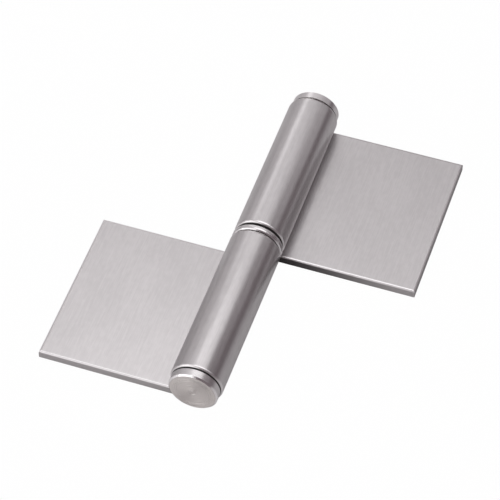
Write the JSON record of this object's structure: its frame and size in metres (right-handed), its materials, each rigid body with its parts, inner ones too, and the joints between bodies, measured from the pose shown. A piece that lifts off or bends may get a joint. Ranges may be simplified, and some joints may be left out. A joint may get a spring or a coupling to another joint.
{
  "type": "flag hinge",
  "caption": "Lift-off flag hinge with blank weld-on leaves, rolled knuckles on a fixed pin, a thrust ring between the knuckles and a turned plug in each outer end.",
  "frame": {"origin": "under the middle of the pin, on the surface that the open hinge lies on", "axes": "+Y along the pin, in the direction in which the upper half lifts off; +X towards the upper leaf's outer edge; +Z away from the leaves' undersides, towards the pin"},
  "size_m": [0.11, 0.1304, 0.018],
  "materials": {
    "leaf_steel": "satin, hairline along the pin",
    "turned_steel": "turned"
  },
  "bodies": {
    "lower_half": {"lower_leaf": "leaf_steel", "hinge_pin": "turned_steel", "lower_plug": "turned_steel"},
    "ring": {"thrust_ring": "turned_steel"},
    "upper_half": {"upper_leaf": "leaf_steel", "upper_plug": "turned_steel"}
  },
  "joints": [
    {"name": "swing", "type": "hinge", "parent": "lower_half", "child": "ring", "pos_m": [0, 0, 0.009], "axis": [0, 1, 0], "continuous": true},
    {"name": "lift_off", "type": "slide", "parent": "ring", "child": "upper_half", "axis": [0, 1, 0], "range_m": [0, 0.06]}
  ]
}
